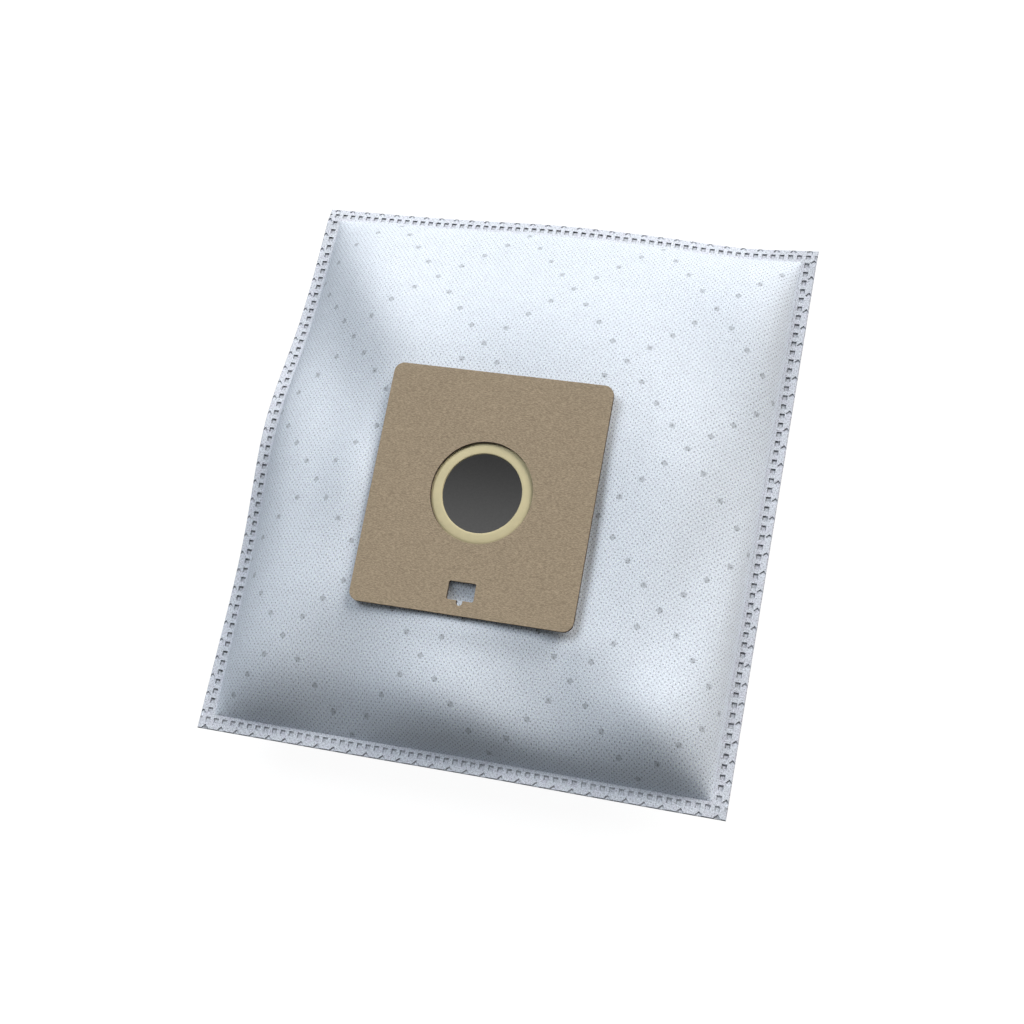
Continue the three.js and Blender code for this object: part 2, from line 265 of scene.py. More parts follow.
world_links.new(white.outputs[0], choice.inputs[2])
world_links.new(choice.outputs[0], world_nodes["World Output"].inputs["Surface"])
bpy.context.scene.view_settings.view_transform = "Standard"
key_rise = math.degrees(math.asin(KEY_FROM.normalized().z))
print("The key light is", round(key_rise), "degrees above the floor.")

# %% Floor
FLOOR_SIZE = 6
FLOOR_GREY = 0.2
FLOOR_GLOW = 0.95

bpy.ops.object.select_all(action="DESELECT")
bpy.ops.mesh.primitive_plane_add(size=FLOOR_SIZE)
floor = bpy.context.object
floor.name = "floor"
floor_finish = Finish("white floor")
floor_finish.feed(floor_finish.shader.inputs["Base Color"], (FLOOR_GREY, FLOOR_GREY, FLOOR_GREY, 1))
floor_finish.matt(1.0, 0.0)
floor_seen = floor_finish.node("ShaderNodeLightPath", output="Is Camera Ray")
for ray in ("Is Glossy Ray", "Is Transmission Ray"):
    floor_seen = floor_seen.most(floor_finish.node("ShaderNodeLightPath", output=ray))
floor_white = floor_finish.shade((1, 1, 1), floor_seen * FLOOR_GLOW)
floor_finish.feed(floor_finish.shader.inputs["Emission Color"], floor_white)
floor_finish.feed(floor_finish.shader.inputs["Emission Strength"], 1.0)
floor.data.materials.append(floor_finish.material)
print("The floor's own grey is", FLOOR_GREY)

# %% [markdown]
# The fleece is spun-bonded: a thin felt of fine threads, pressed together at rows of small points.
# On the bag these points are grey specks about half a millimetre across, in a staggered grid. A
# second, wide trellis of round marks lies over them. Both are worked out from the cloth's own map,
# laid flat before the bag is puffed, so they follow the fabric. A little noise moves each point and
# changes its strength, and the points are pressed in a little by a bump.

# %% Fleece finishes
POINT_ACROSS = 2.15
POINT_ALONG = 2.42
POINT_WIDE = 0.28
POINT_LONG = 0.35
POINT_CORE = 0.55
POINT_EDGE = 1.4
TRELLIS_ACROSS = 8.03
TRELLIS_ALONG = 8.82
TRELLIS_AT = (17.9, 86.9)
TRELLIS_EVERY = 4
TRELLIS_RADIUS = 1.25
TRELLIS_FADE_OUT = 0.3
TRELLIS_FADE_IN = 0.35
FIBRE_GRAIN = 1.9
FIBRE_CONTRAST = 0.27
WANDER = 0.5
JITTER = 0.45
FLEECE_RELIEF = 0.12
FLEECE_ROUGHNESS = 0.9
FLEECE_GLOSS = 0.15
CLOTH_MAP = "cloth"
CLOTH_UNIT = 100


def bond_points(across, along):
    """1 on each bond point of a staggered grid and 0 between them."""
    nearest = None
    for shift in (0.0, 0.5):
        off_x = (across / POINT_ACROSS + shift).fraction() - 0.5
        off_y = (along / POINT_ALONG + shift).fraction() - 0.5
        wide = off_x * (POINT_ACROSS / POINT_WIDE)
        tall = off_y * (POINT_ALONG / POINT_LONG)
        far = wide * wide + tall * tall
        nearest = far if nearest is None else nearest.least(far)
    return nearest.root().ramp(POINT_EDGE, POINT_CORE)


def trellis_marks(across, along):
    """1 on the round marks that lie on crossing slanted lines."""
    step_x = (across - TRELLIS_AT[0]) / TRELLIS_ACROSS
    step_y = (along - TRELLIS_AT[1]) / TRELLIS_ALONG
    first = (step_x + step_y) * 0.5
    second = (step_x - step_y) * 0.5
    first_off = first - first.whole()
    second_off = second - second.whole()
    off_x = (first_off + second_off) * TRELLIS_ACROSS
    off_y = (first_off - second_off) * TRELLIS_ALONG
    far = (off_x * off_x + off_y * off_y).root()
    on_first = first.whole().math("FLOORED_MODULO", TRELLIS_EVERY)
    on_second = second.whole().math("FLOORED_MODULO", TRELLIS_EVERY)
    on_line = on_first.least(on_second) < 0.5
    return far.ramp(TRELLIS_RADIUS + TRELLIS_FADE_OUT, TRELLIS_RADIUS - TRELLIS_FADE_IN) * on_line


def fleece_finish(name, colour, point_depth, mark_depth, tint, tint_depth, weld_grey_and_shade=None):
    """Matt bonded fleece in one colour, with bond points and trellis marks of a given darkness."""
    finish = Finish(name)
    cloth = finish.node("ShaderNodeUVMap", {"uv_map": CLOTH_MAP})
    flat = finish.node("ShaderNodeVectorMath", {"operation": "SCALE"}, {"Vector": cloth, "Scale": CLOTH_UNIT})
    wander = finish.noise(flat, 0.35, 1.0)
    jitter = finish.noise(flat, 1.1, 0.0)
    across, along, _ = finish.split(flat)
    moved_x = across + (wander - 0.5) * WANDER
    moved_y = along + (jitter - 0.5) * JITTER
    strength = finish.noise(flat, 0.6, 2.0).ramp(0.25, 0.7, 0.35, 1.0)
    points = bond_points(moved_x, moved_y) * strength
    marks = trellis_marks(across, along)
    mark_tone = finish.noise(flat, 1.3, 1.0).ramp(0.3, 0.7, 0.75, 1.1)
    fibres = finish.noise(flat, FIBRE_GRAIN, 3.0, 0.7)
    cloud = finish.noise(flat, 0.12, 2.0)
    tone = 1 - points * point_depth - marks * mark_tone * mark_depth
    tone = tone * fibres.ramp(0.3, 0.7, 1 - FIBRE_CONTRAST, 1 + FIBRE_CONTRAST)
    tone = tone * cloud.ramp(0.3, 0.7, 0.985, 1.015)
    patch = finish.noise(flat, 0.3, 2.0).ramp(0.4, 0.65, 0.0, tint_depth)
    base = finish.blend(patch, colour, tint)
    # On the hem, the weld marks' grey and the painted shade darken the tone.
    if weld_grey_and_shade:
        tone = tone * (1 - weld_grey_and_shade(finish))
    finish.feed(finish.shader.inputs["Base Color"], finish.shade(base, tone))
    height = fibres * 0.35 + (1 - points) * 0.5 - marks * 0.2
    finish.feed(finish.shader.inputs["Normal"], finish.bump(height, FLEECE_RELIEF))
    finish.matt(FLEECE_ROUGHNESS, FLEECE_GLOSS)
    return finish.material


FLEECE_COLOUR = (0.835, 0.9, 0.985, 1)
PRESSED_COLOUR = (0.82, 0.86, 0.93, 1)
LAVENDER = (0.78, 0.76, 0.88, 1)
POINT_DARK = 0.54
POINT_DARK_IN_HEM = 0.3
TRELLIS_DARK = 0.33
LAVENDER_SHARE = 0.12
LAVENDER_SHARE_IN_HEM = 0.35

free_fleece = fleece_finish("fleece", FLEECE_COLOUR, POINT_DARK, TRELLIS_DARK, LAVENDER, LAVENDER_SHARE)
print("The bond points are", POINT_ACROSS, "by", POINT_ALONG, "mm apart, in staggered rows.")

# %% [markdown]
# The hem is pressed flat between hot tools. One leaves a row of square marks, the other a row of
# diamonds outside it. Both are real dents in the mesh further down. Where the fleece melts it turns
# glassy and grey. Over that the finish paints the shade in the dents: along the walls of each square
# the far wall is darkest, then the left and the right, and the near side stays light; in each diamond
# a stroke lies inside its two far sides. It also paints shade along the near cut edge and over the
# right end of the hem. All this is painted at the same places, counted in steps from the middle of
# the hem.

# %% Hem finish
PIT_FROM_EDGE = 4.3
PIT_WIDTH = 2.2
PIT_LENGTH = 2.4
PITS_ACROSS = 57
PITS_ALONG = 58
DIAMOND_REACH = 1.55
DIAMOND_FROM_EDGE = {"near": 0.6, "far": 1.35, "left": 1.1, "right": 1.2}
DIAMOND_STEP_X = 7.75
DIAMOND_STEP_Y = 8.3
FAR_WALL_SHADE = 0.85
SIDE_WALL_SHADE = 0.62
PIT_FLOOR_DARK = 0.22
NEAR_MARK_SHARE = 0.64
DIAMOND_SHADE = 0.62
DIAMOND_RIGHT_SHARE = {"near": 0.12, "far": 0.45, "left": 0.45, "right": 0.6}
CUT_LINE_SHADE = 0.45
RIGHT_HEM_SHADE = 0.86
edge_x = BAG_WIDTH / 2
edge_y = BAG_LENGTH / 2
pit_reach_x = edge_x - PIT_FROM_EDGE
pit_reach_y = edge_y - PIT_FROM_EDGE
pit_step_x = 2 * pit_reach_x / PITS_ACROSS
pit_step_y = 2 * pit_reach_y / PITS_ALONG


def from_nearest(place, step, first):
    """How far a place is from the nearest mark of a row, in mm."""
    count = (place - first) / step
    return (count - count.whole()) * step


def square_marks(x, y):
    """How dark the square marks are: 0 outside, a light weld grey on the floor, painted shade on the walls.
    """
    across = from_nearest(x, pit_step_x, pit_reach_x) / (PIT_WIDTH / 2)
    along = from_nearest(y, pit_step_y, pit_reach_y) / (PIT_LENGTH / 2)
    in_column = (x.size() - pit_reach_x).size() < PIT_WIDTH / 2 + 0.1
    in_row = (y.size() - pit_reach_y).size() < PIT_LENGTH / 2 + 0.1
    outline = across.size().ramp(1.1, 0.95) * along.size().ramp(1.1, 0.95)
    # Painted shade on the dent walls: the far wall darkest, then the left and the right. The floor keeps only
    # the weld's light grey.
    far_wall_shade = along.ramp(0.15, 0.5) * FAR_WALL_SHADE
    right_share = x.ramp(-edge_x, edge_x, 0.35, 0.85)
    left_wall_shade = across.ramp(-0.35, -0.7) * along.ramp(-0.9, -0.5) * SIDE_WALL_SHADE
    right_wall_shade = across.ramp(0.4, 0.75) * along.ramp(-0.7, -0.3) * SIDE_WALL_SHADE * right_share
    dark = far_wall_shade.most(left_wall_shade).most(right_wall_shade).most(PIT_FLOOR_DARK)
    # The painted shade and the grey are weaker on the near hem and towards the right end.
    mark_strength = y.ramp(-edge_y + 5, -edge_y + 15, NEAR_MARK_SHARE, 1.0) * x.ramp(0, edge_x, 1.0, 0.88)
    return in_column.most(in_row) * outline * dark * mark_strength


def diamond_marks(x, y):
    """How dark the diamonds are: painted shade in a stroke inside their two far sides, weaker on the right.
    """
    step_x = from_nearest(x, DIAMOND_STEP_X, 0)
    step_y = from_nearest(y, DIAMOND_STEP_Y, 0)
    rows = {
        "far": (step_x, y - (edge_y - DIAMOND_FROM_EDGE["far"])),
        "near": (step_x, y - (DIAMOND_FROM_EDGE["near"] - edge_y)),
        "right": (x - (edge_x - DIAMOND_FROM_EDGE["right"]), step_y),
        "left": (x - (DIAMOND_FROM_EDGE["left"] - edge_x), step_y),
    }
    dark = None
    for side, (across, along) in rows.items():
        out = across.size() + along.size()
        # Painted shade: a dark stroke inside each diamond's two far sides.
        stroke = out.ramp(DIAMOND_REACH - 0.95, DIAMOND_REACH - 0.5)
        stroke = stroke * out.ramp(DIAMOND_REACH + 0.12, DIAMOND_REACH)
        on_right = across.ramp(0.9, 0.0, DIAMOND_RIGHT_SHARE[side], 1.0)
        stroke = stroke * along.ramp(-0.5, 0.1) * on_right
        dark = stroke if dark is None else dark.most(stroke)
    return dark * DIAMOND_SHADE


def weld_grey_and_painted_shade(finish):
    """Weld marks with their painted shade, plus painted shade on the near cut edge and the hem's right end.
    """
    x, y, _ = finish.split(finish.place())
    # The strength of the marks and of their painted shade changes a little at random.
    unevenness = finish.noise(finish.place(), 0.9, 1.0).ramp(0.3, 0.7, 0.75, 1.1)
    # Painted shade along the near cut edge, which faces away from the light.
    cut_line_shade = y.ramp(-edge_y + 0.5, -edge_y + 0.2) * CUT_LINE_SHADE
    marks = square_marks(x, y).most(diamond_marks(x, y)).most(cut_line_shade) * unevenness
    # Painted shade: the hem gets darker towards its right end.
    return 1 - (1 - marks) * x.ramp(edge_x - 40, edge_x - 6, 1.0, RIGHT_HEM_SHADE)


pressed_fleece = fleece_finish(
    "pressed hem fleece",
    PRESSED_COLOUR,
    POINT_DARK_IN_HEM,
    0.0,
    LAVENDER,
    LAVENDER_SHARE_IN_HEM,
    weld_grey_and_painted_shade,
)
print("Square marks are", round(pit_step_x, 2), "mm apart across and", round(pit_step_y, 2), "mm along.")

# %% [markdown]
# Inside, the bag has a dark grey filter layer. Only an even grey can be seen of it through the hole,
# a little lighter towards the near side. The fleece lets some daylight through, which fills the bag.
# Light through cloth is slow to render, so a faint glow of the lining stands for it.

# %% Lining finish
GLOW_NEAR_Y = -24
GLOW_FAR_Y = 32
GLOW_NEAR = 0.085
GLOW_FAR = 0.024
LINING_COLOUR = (0.2, 0.2, 0.2)
LINING_RELIEF = 0.05

lining = Finish("dark filter lining")
lining_place = lining.place()
felt = lining.noise(lining_place, 1.2, 3.0)
felt_colour = lining.shade(LINING_COLOUR, felt.ramp(0.3, 0.7, 0.92, 1.08))
lining.feed(lining.shader.inputs["Base Color"], felt_colour)
lining.matt(0.95, 0.1)
lining.feed(lining.shader.inputs["Normal"], lining.bump(felt, LINING_RELIEF))
_, lining_y, _ = lining.split(lining_place)
daylight = lining_y.ramp(GLOW_NEAR_Y, GLOW_FAR_Y, GLOW_NEAR, GLOW_FAR)
lining.feed(lining.shader.inputs["Emission Color"], lining.shade((1, 1, 1), daylight))
lining.feed(lining.shader.inputs["Emission Strength"], 1.0)
print("The lining glows between", GLOW_FAR, "and", GLOW_NEAR)

# %% [markdown]
# The shape of the puffed sheets is a height over the flat bag, in millimetres. It rises from each
# seam with its own shoulder, and a few smooth hills and dips stand for the places where the fabric is
# pulled in or pushed out. Cloth simulation could puff the bag too, but the photo fixes where each
# fold lies, and the trellis marks in it gave the real heights, so a formula is closer. It is the
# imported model's formula with four fine things added: the fleece is drawn in under the slot, creased
# along the right side of the board and fuller along its near edge, and the far hem droops a little.

# %% Height of the sheets
HEM_WIDTH = 7
FLEECE = 1.2
HEM_FLEECE = 0.6
WELD_GAP = 0.1
FRONT_CROWN = 42.5
CROWN_TO_RIGHT = -6
CROWN_TO_FAR = 8
BACK_CROWN = 37.5
FLATTENING = 1.5
SEAM_X = BAG_WIDTH / 2 - HEM_WIDTH
SEAM_Y = BAG_LENGTH / 2 - HEM_WIDTH
FRONT_RISE = {"left": (4.1, 0.72), "right": (9.7, 0.63), "near": (9.7, 0.88), "far": (2.2, 0.7)}
BACK_RISE = (2.6, 0.5)

# Where the front is puffed out or drawn in: x, y, height, how wide, how long, and how far the long
# way is turned from the Y axis, in degrees. The first ten were placed one by one. A fit to the heights
# of the trellis marks and to the photo's light and shade then moved them, and the shoulders and the
# crown above, and what it gave was rounded. The last three are set one by one.
PUFFS = {
    "drawn in at the far right": (114, 31, -13.5, 32, 91, 40),
    "drawn in along the right seam": (108, -8, -10, 19, 74, -15),
    "long slope on the left": (-128, 57, -25, 54, 138, 55),
    "ridge from the far left corner": (-88, 95, 13.5, 24, 89, 35),
    "fuller beside the collar": (-59, -12, 8.5, 17, 31, -5),
    "roll along the near end": (-41, -113, 10, 41, 20, -5),
    "fold below that roll": (-51, -124, -28, 34, 35, -5),
    "fold to the right of the roll": (38, -105, -7, 23, 32, 50),
    "puffed near right corner": (87, -100, 5, 16, 20, 10),
    "slope at the far end": (-5, 127, -22.5, 63, 40, 25),
    "drawn in under the slot": (0, -60, -8, 9, 6.5, 0),
    "crease along the right of the board": (44, -27, -4.8, 6, 43, 1),
    "fuller along the near edge of the board": (12, -74, 1.6, 38, 7, 0),
}
# How the hem waves: side, where along it, height, how long
HEM_WAVES = [("left", 12, 11.5, 45), ("far", -2, 3, 40), ("far", 86, -4, 28), ("near", 15, 2.5, 45)]
WAVE_FADE = 4
FAR_HEM_DROOP = 0.25


def hill(distance, reach):
    return np.exp(-((distance / reach) ** 2))


def soft_step(t):
    t = np.clip(t, 0, 1)
    return t * t * (3 - 2 * t)


def seam_height(x, y):
    nearness = {
        "left": (SEAM_X - x) / (2 * SEAM_X),
        "far": (SEAM_Y + y) / (2 * SEAM_Y),
        "near": (SEAM_Y - y) / (2 * SEAM_Y),
    }
    height = np.full(np.shape(x), float(SEAM_HEIGHT))
    for side, at, rise, reach in HEM_WAVES:
        along = y if side == "left" else x
        height += rise * hill(along - at, reach) * np.clip(nearness[side], 0, 1) ** WAVE_FADE
    return height - FAR_HEM_DROOP * np.maximum(y - SEAM_Y, 0)


def shoulder(position, seam, shape):
    """0 at the seam and 1 in the middle. A bigger first number in shape is flatter on top."""
    flatness, power = shape
    return (1 - np.clip(np.abs(position) / seam, 0, 1) ** flatness) ** power


def puff_height(x, y, at_x, at_y, height, wide, long, turn):
    cosine, sine = math.cos(math.radians(turn)), math.sin(math.radians(turn))
    across = (x - at_x) * cosine + (y - at_y) * sine
    along = (y - at_y) * cosine - (x - at_x) * sine
    return height * hill(across, wide) * hill(along, long)


def front_puff(x, y):
    left, right = (shoulder(x, SEAM_X, FRONT_RISE[side]) for side in ("left", "right"))
    near, far = (shoulder(y, SEAM_Y, FRONT_RISE[side]) for side in ("near", "far"))
    crown = FRONT_CROWN + (CROWN_TO_RIGHT * x + CROWN_TO_FAR * y) / 100
    for puff in PUFFS.values():
        crown = crown + puff_height(x, y, *puff)
    return np.where(x < 0, left, right) * np.where(y < 0, near, far) * crown


# %% [markdown]
# The collar's board lies at a slant, 4.8 degrees up at its far end and 1 degree up on its left. The
# fleece is glued to its middle, and falls away from it towards the edges, which stand free and throw
# a soft shadow. Under the ring it steps down by the ring's thickness.

# %% Height under the collar
COLLAR_WIDTH = 98.8
COLLAR_LENGTH = 107.5
BOARD = 1.8
COLLAR_AT = Vector((-0.35, -17.8, SEAM_HEIGHT + 42))
COLLAR_PITCH = math.radians(4.8)
COLLAR_ROLL = math.radians(1)
COLLAR_MARGIN = 1
GLUED_SHARE = 2 / 3
COLLAR_SETTLE = 17
GLUE_LINE = 0.1
INTAKE_Y = 0.2
RING_STEP = 0.95
RING_STEP_FROM = 28.3
RING_STEP_TO = 31.5

collar_turn = Matrix.Rotation(COLLAR_PITCH, 3, "X") @ Matrix.Rotation(COLLAR_ROLL, 3, "Y")
collar_normal = collar_turn @ Vector((0, 0, 1))
collar_frame = Matrix.Translation(COLLAR_AT * MM) @ collar_turn.to_4x4()
intake_at = COLLAR_AT + collar_turn @ Vector((0, INTAKE_Y, 0))


def collar_plane(x, y, depth):
    """Height of the plane a given depth below the board's top face."""
    slope_x = collar_normal.x / collar_normal.z
    slope_y = collar_normal.y / collar_normal.z
    centre = COLLAR_AT.z - depth / collar_normal.z
    return centre - slope_x * (x - COLLAR_AT.x) - slope_y * (y - COLLAR_AT.y)


def collar_hold(x, y):
    """1 where the fleece is glued to the board, falling to 0 by the board's edges."""
    beyond_x = np.maximum(np.abs(x - COLLAR_AT.x) - GLUED_SHARE * (COLLAR_WIDTH / 2 + COLLAR_MARGIN), 0)
    beyond_y = np.maximum(np.abs(y - COLLAR_AT.y) - GLUED_SHARE * (COLLAR_LENGTH / 2 + COLLAR_MARGIN), 0)
    return 1 - soft_step(np.hypot(beyond_x, beyond_y) / COLLAR_SETTLE)


def front_top(x, y):
    free = seam_height(x, y) + WELD_GAP / 2 + HEM_FLEECE + front_puff(x, y)
    from_hole = np.hypot(x - intake_at.x, y - intake_at.y)
    under_ring = 1 - soft_step((from_hole - RING_STEP_FROM) / (RING_STEP_TO - RING_STEP_FROM))
    held = collar_plane(x, y, BOARD + GLUE_LINE) - RING_STEP * under_ring
    hold = collar_hold(x, y)
    return free * (1 - hold) + held * hold


def back_bottom(x, y):
    """Height of the back sheet's outside, with a softened floor at 0 where the bag lies."""
    drop = BACK_CROWN * shoulder(x, SEAM_X, BACK_RISE) * shoulder(y, SEAM_Y, BACK_RISE)
    height = seam_height(x, y) - WELD_GAP / 2 - HEM_FLEECE - drop
    soft = (height + FLATTENING) ** 2 / (4 * FLATTENING)
    return np.where(height > FLATTENING, height, np.where(height < -FLATTENING, 0, soft))


beside_collar = float(front_top(np.float64(60), np.float64(20)))
print("The front is", round(beside_collar, 1), "mm high at the right of the collar.")

# %% [markdown]
# Each sheet starts as the flat blank that the maker has: a slab as thick as the pressed hem. A grid
# is given a line at both edges of every square weld mark, and more lines close to the seam, where
# the puffed sheet will bend most. The marks are then pressed in by extruding their faces, while all is
# still flat and square.

# %% Lines of the flat blank
PIT_DEPTH = 0.42
CUT_SLANT = 0.45
SEAM_CROWD = [0, 0.12, 0.32, 0.65, 1.1, 1.7, 2.5, 3.5, 4.8, 6.2]
CLOSEST_LINES = 0.12
CLOSE = 0.01


def pit_centres(reach, steps):
    return [-reach + 2 * reach * i / steps for i in range(steps + 1)]


def blank_lines(edge, seam, centres, pit_size):
    """Grid lines across the blank, from one cut edge to the other."""
    lines = [-edge, edge]
    for centre in centres:
        lines += [centre - pit_size / 2, centre + pit_size / 2]
    for gap in SEAM_CROWD:
        for line in (gap - seam, seam - gap):
            if min(abs(line - other) for other in lines) > CLOSEST_LINES:
                lines.append(line)
    return sorted(lines)


centres_x = pit_centres(pit_reach_x, PITS_ACROSS)
centres_y = pit_centres(pit_reach_y, PITS_ALONG)
lines_x = blank_lines(edge_x, SEAM_X, centres_x, PIT_WIDTH)
lines_y = blank_lines(edge_y, SEAM_Y, centres_y, PIT_LENGTH)
print(len(lines_x), "lines across and", len(lines_y), "lines along")

# %% Mesh helpers
def points_of(piece):
    flat = np.empty(len(piece.data.vertices) * 3)
    piece.data.vertices.foreach_get("co", flat)
    return flat.reshape(-1, 3)


def move_points(piece, points):
    piece.data.vertices.foreach_set("co", points.ravel())
    piece.data.update()


def select_only(piece):
    bpy.ops.object.select_all(action="DESELECT")
    piece.select_set(True)
    bpy.context.view_layer.objects.active = piece


def edit_faces(piece, wanted):
    """Opens a piece in edit mode with some faces selected, from an array of true and false."""
    select_only(piece)
    bpy.context.tool_settings.mesh_select_mode = (False, False, True)
    piece.data.vertices.foreach_set("select", np.zeros(len(piece.data.vertices), bool))
    piece.data.edges.foreach_set("select", np.zeros(len(piece.data.edges), bool))
    piece.data.polygons.foreach_set("select", wanted)
    bpy.ops.object.mode_set(mode="EDIT")


def face_middles(piece):
    flat = np.empty(len(piece.data.polygons) * 3)
    piece.data.polygons.foreach_get("center", flat)
    return flat.reshape(-1, 3)


def face_normals(piece):
    flat = np.empty(len(piece.data.polygons) * 3)
    piece.data.polygons.foreach_get("normal", flat)
    return flat.reshape(-1, 3)


def finish_edit():
    bpy.ops.object.mode_set(mode="OBJECT")


def apply_all(piece):
    select_only(piece)
    for modifier in list(piece.modifiers):
        bpy.ops.object.modifier_apply(modifier=modifier.name)


# %% Flat blank
def flat_blank(name):
    """A slab on the grid lines, as thick as the pressed hem, with its top face at height 0."""
    bpy.ops.object.select_all(action="DESELECT")
    across, along = len(lines_x) - 1, len(lines_y) - 1
    bpy.ops.mesh.primitive_grid_add(x_subdivisions=across, y_subdivisions=along, size=2)
    blank = bpy.context.object
    blank.name = name
    points = points_of(blank)
    column = np.rint((points[:, 0] + 1) / 2 * across).astype(int)
    row = np.rint((points[:, 1] + 1) / 2 * along).astype(int)
    points[:, 0] = np.array(lines_x)[column]
    points[:, 1] = np.array(lines_y)[row]
    move_points(blank, points)
    bpy.ops.object.mode_set(mode="EDIT")
    bpy.ops.mesh.select_all(action="SELECT")
    bpy.ops.mesh.extrude_region_move(TRANSFORM_OT_translate={"value": (0, 0, -HEM_FLEECE)})
    bpy.ops.mesh.select_all(action="SELECT")
    bpy.ops.mesh.normals_make_consistent(inside=False)
    finish_edit()
    points = points_of(blank)
    on_top = points[:, 2] > -HEM_FLEECE / 2
    for axis, edge in ((0, edge_x), (1, edge_y)):
        at_edge = on_top & (np.abs(points[:, axis]) > edge - CLOSE)
        points[at_edge, axis] = np.sign(points[at_edge, axis]) * (edge - CUT_SLANT)
    move_points(blank, points)
    return blank


front_sheet = flat_blank("fleece_front")
print("Blank:", len(front_sheet.data.polygons), "faces")

# %% Square weld marks
middles = face_middles(front_sheet)
upward = face_normals(front_sheet)[:, 2] > 0.5
near_pit_x = np.abs(middles[:, 0][:, None] - np.array(centres_x)).min(1) < PIT_WIDTH / 2
near_pit_y = np.abs(middles[:, 1][:, None] - np.array(centres_y)).min(1) < PIT_LENGTH / 2
in_row = np.abs(np.abs(middles[:, 1]) - (edge_y - PIT_FROM_EDGE)) < PIT_LENGTH / 2
in_column = np.abs(np.abs(middles[:, 0]) - (edge_x - PIT_FROM_EDGE)) < PIT_WIDTH / 2
edit_faces(front_sheet, upward & ((in_row & near_pit_x) | (in_column & near_pit_y)))
bpy.ops.mesh.extrude_region_move(TRANSFORM_OT_translate={"value": (0, 0, -PIT_DEPTH)})
finish_edit()
print("With square marks:", len(front_sheet.data.polygons), "faces")

# %% [markdown]
# Outside the square marks runs a row of small diamonds. The blank was cut through them, so some are
# open at the edge. They don't fall on the grid lines, so they are cut with a Boolean: one diamond is
# a cylinder with four sides, and copies of it are joined into one cutter, together with the round
# hole for the intake.

# %% Diamond weld marks and the hole
DIAMOND_DEPTH = 0.42
FLEECE_HOLE = 20
CUTTER_TALL = 2
HOLE_DEPTH = 1.5


def diamond_places():
    places = []
    count_x = int(edge_x / DIAMOND_STEP_X)
    count_y = int(edge_y / DIAMOND_STEP_Y)
    for i in range(-count_x, count_x + 1):
        x = i * DIAMOND_STEP_X
        places += [(x, edge_y - DIAMOND_FROM_EDGE["far"]), (x, DIAMOND_FROM_EDGE["near"] - edge_y)]
    for i in range(-count_y, count_y + 1):
        y = i * DIAMOND_STEP_Y
        places += [(edge_x - DIAMOND_FROM_EDGE["right"], y), (DIAMOND_FROM_EDGE["left"] - edge_x, y)]
    return places


def cutter(radius, sides, place, depth):
    bpy.ops.object.select_all(action="DESELECT")
    middle = (place[0], place[1], CUTTER_TALL / 2 - depth)
    bpy.ops.mesh.primitive_cylinder_add(vertices=sides, radius=radius, depth=CUTTER_TALL, location=middle)
    return bpy.context.object


def copied(piece, move):
    copy = bpy.data.objects.new(piece.name, piece.data.copy())
    bpy.context.scene.collection.objects.link(copy)
    copy.location = piece.location + Vector((*move, 0))
    return copy


places = diamond_places()
first_diamond = cutter(DIAMOND_REACH, 4, places[0], DIAMOND_DEPTH)
cutters = [first_diamond]
for place in places[1:]:
    cutters.append(copied(first_diamond, (place[0] - places[0][0], place[1] - places[0][1])))
cutters.append(cutter(FLEECE_HOLE, 96, (intake_at.x, intake_at.y), HOLE_DEPTH))
select_only(first_diamond)
for other in cutters:
    other.select_set(True)
bpy.ops.object.join()
marks_cut = front_sheet.modifiers.new("weld marks", "BOOLEAN")
marks_cut.operation = "DIFFERENCE"
marks_cut.solver = "EXACT"
marks_cut.object = first_diamond
apply_all(front_sheet)
bpy.data.objects.remove(first_diamond)
print(len(places), "diamonds cut:", len(front_sheet.data.polygons), "faces")

# %% [markdown]
# Now the blank is puffed. Every point keeps its place on the flat map and moves up to the height of
# the surface there. Its depth in the slab becomes a depth square to the puffed surface, so the fleece
# keeps its thickness on steep walls too. The cloth map is laid on before this, while the blank is
# flat. On steep walls it is let out, so that the bond points don't become streaks.

# %% Puffing
STRETCH_LIMIT = 1.35
SLOPE_REACH = 0.25


def let_out(positions, heights):
    """How far the map moves outwards along one line of heights, for what is stretched past the limit."""
    steps = np.diff(positions)
    stretch = np.hypot(1, np.diff(heights, axis=-1) / steps)
    extra = np.maximum(stretch - STRETCH_LIMIT, 0) * steps
    total = np.concatenate([np.zeros(heights.shape[:-1] + (1,)), np.cumsum(extra, axis=-1)], axis=-1)
    middle = len(positions) // 2
    return total - total[..., middle : middle + 1]


def looked_up(table, x, y):
    """A value from a table on the grid lines, at any point of the blank."""
    xs = np.array(lines_x)
    ys = np.array(lines_y)
    column = np.clip(np.searchsorted(xs, x) - 1, 0, len(xs) - 2)
    row = np.clip(np.searchsorted(ys, y) - 1, 0, len(ys) - 2)
    part_x = (x - xs[column]) / (xs[column + 1] - xs[column])
    part_y = (y - ys[row]) / (ys[row + 1] - ys[row])
    low = table[row, column] * (1 - part_x) + table[row, column + 1] * part_x
    high = table[row + 1, column] * (1 - part_x) + table[row + 1, column + 1] * part_x
    return low * (1 - part_y) + high * part_y


def lay_cloth_map(sheet, surface):
    grid_x, grid_y = np.meshgrid(lines_x, lines_y)
    heights = surface(grid_x, grid_y)
    out_x = let_out(np.array(lines_x), heights)
    out_y = let_out(np.array(lines_y), heights.T).T
    points = points_of(sheet)
    flat = np.empty((len(points), 2))
    flat[:, 0] = points[:, 0] + looked_up(out_x, points[:, 0], points[:, 1])
    flat[:, 1] = points[:, 1] + looked_up(out_y, points[:, 0], points[:, 1])
    corners = np.empty(len(sheet.data.loops), int)
    sheet.data.loops.foreach_get("vertex_index", corners)
    for old in list(sheet.data.uv_layers):
        sheet.data.uv_layers.remove(old)
    layer = sheet.data.uv_layers.new(name=CLOTH_MAP)
    layer.data.foreach_set("uv", (flat[corners] / CLOTH_UNIT).ravel())


